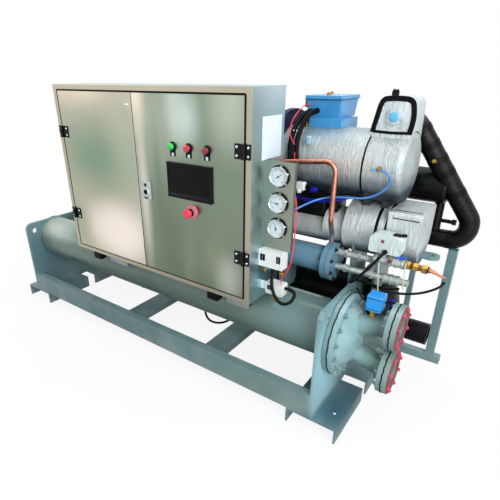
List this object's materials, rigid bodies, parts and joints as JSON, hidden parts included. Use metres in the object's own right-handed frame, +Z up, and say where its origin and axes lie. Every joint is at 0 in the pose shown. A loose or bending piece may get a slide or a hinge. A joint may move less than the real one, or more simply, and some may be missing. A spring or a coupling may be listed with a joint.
{
  "type": "water-cooled screw chiller",
  "caption": "Skid-mounted water-cooled screw chiller with a stainless two-door control cabinet over a horizontal condenser and an insulated compressor behind it.",
  "frame": {"origin": "on the floor, under the middle of the whole machine, nozzles and pipe elbow included", "axes": "+X along the skid towards the water nozzles, +Y to the rear, away from the cabinet doors, +Z up"},
  "size_m": [2.6609, 0.897, 1.416],
  "materials": {
    "black_foam": "closed-cell foam insulation",
    "black_plastic": "black plastic",
    "black_steel": "black enamel",
    "blue_handle": "blue plastic",
    "blue_hose": "blue plastic tube",
    "box_blue": "light blue enamel",
    "brass": "brass",
    "cap_blue": "light blue plastic",
    "copper": "copper tube",
    "foil": "crumpled insulation foil",
    "galvanised": "galvanised steel",
    "gasket": "rubber",
    "gauge": "black case",
    "grey_plastic": "light grey plastic",
    "lens": "coloured lens",
    "motor_blue": "dark blue enamel",
    "red_plastic": "red plastic",
    "screen": "dark gloss screen",
    "skid_paint": "grey-green satin enamel",
    "stainless": "brushed stainless sheet",
    "vessel_paint": "grey-green satin enamel",
    "white_plastic": "white plastic"
  },
  "bodies": {
    "chiller": {"actuator_cable": "black_plastic", "blue_tube": "blue_hose", "cabinet_back_panel": "stainless", "cabinet_cable": "black_plastic", "cabinet_front_frame": "stainless", "cabinet_shell": "stainless", "cabinet_supports": "galvanised", "compressor_body": "foil", "compressor_motor_end": "motor_blue", "condenser_left_end": "vessel_paint", "condenser_shell": "vessel_paint", "condenser_water_head": "vessel_paint", "control_conduit": "black_plastic", "copper_pipe": "copper", "cross_members": "skid_paint", "evaporator_left_end": "black_foam", "evaporator_right_end": "black_foam", "evaporator_shell": "black_foam", "expansion_valve": "brass", "filter_drier": "vessel_paint", "flow_switch": "cap_blue", "flow_switch_base": "brass", "frame_hinges": "black_steel", "gauge_panel": "stainless", "left_end_plate": "skid_paint", "left_feet": "skid_paint", "liquid_lines": "foil", "motor_conduits": "black_plastic", "mounting_plate": "galvanised", "nozzle_counter_flanges": "vessel_paint", "nozzle_gaskets": "gasket", "oil_separator_neck": "foil", "oil_separator_right_end": "foil", "oil_separator_shell": "foil", "pressure_gauges": "gauge", "pressure_switches": "white_plastic", "rear_post_frame": "skid_paint", "right_end_plate": "skid_paint", "right_feet": "skid_paint", "side_beams": "skid_paint", "suction_header": "black_foam", "suction_pipe": "black_foam", "suction_valve_cap": "cap_blue", "suction_valve_hood": "foil", "support_pads": "gasket", "terminal_box": "box_blue", "terminal_box_base": "box_blue", "valve_actuator": "white_plastic", "vessel_saddles": "skid_paint"},
    "left_door": {"left_door": "stainless", "left_door_hinges": "black_steel"},
    "right_door": {"right_door": "stainless", "right_door_hinges": "black_steel", "door_lock": "grey_plastic", "display_panel": "screen", "pilot_lights": "lens", "stop_button_collar": "red_plastic"},
    "stop_button": {"stop_button": "red_plastic"},
    "lock_barrel": {"lock_barrel": "black_plastic"},
    "valve_handle": {"valve_handle": "blue_handle"}
  },
  "joints": [
    {"name": "left_door_hinge", "type": "hinge", "parent": "chiller", "child": "left_door", "pos_m": [-0.5265, -0.4125, 0.98], "axis": [0, 0, -1], "range_deg": [0, 120]},
    {"name": "right_door_hinge", "type": "hinge", "parent": "chiller", "child": "right_door", "pos_m": [0.5935, -0.4125, 0.98], "axis": [0, 0, 1], "range_deg": [0, 120]},
    {"name": "stop_button_push", "type": "slide", "parent": "right_door", "child": "stop_button", "axis": [0, 1, 0], "range_m": [0, 0.005]},
    {"name": "lock_turn", "type": "hinge", "parent": "right_door", "child": "lock_barrel", "pos_m": [0.058, -0.4095, 0.968], "axis": [0, -1, 0], "range_deg": [0, 90]},
    {"name": "valve_handle_turn", "type": "hinge", "parent": "chiller", "child": "valve_handle", "pos_m": [1.1015, -0.0295, 0.768], "axis": [0, 0, 1], "range_deg": [0, 90]}
  ]
}
